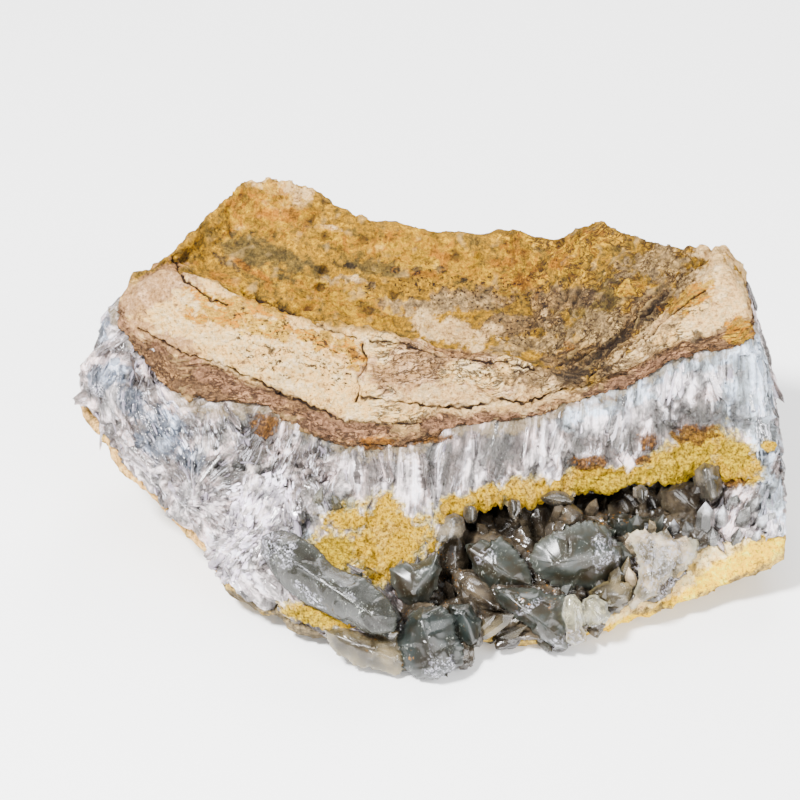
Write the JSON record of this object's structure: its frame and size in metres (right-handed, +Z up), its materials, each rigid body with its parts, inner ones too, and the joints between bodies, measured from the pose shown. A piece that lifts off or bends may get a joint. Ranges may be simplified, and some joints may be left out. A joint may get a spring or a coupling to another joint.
{
  "type": "rough celestite specimen",
  "caption": "Broken piece of a crystal-lined vein: dished tan rock over a pale fibrous celestite band, with a crystal-filled hollow in front and a yellow skin beneath.",
  "frame": {"origin": "on the flat face it rests on, near the middle of that face", "axes": "+X to the right along its length, -Y towards the broken front with the hollow, +Z up"},
  "size_m": [0.1532, 0.1034, 0.0666],
  "materials": {
    "tan_rock": "rough and granular",
    "pale_celestite": "satin, slightly see-through",
    "smoky_crystal": "glossy, partly see-through",
    "yellow_rind": "rough and granular"
  },
  "bodies": {
    "root": {"host_rock": "tan_rock", "celestite": "pale_celestite", "cavity_crystals": "smoky_crystal", "rind": "yellow_rind"}
  },
  "joints": []
}
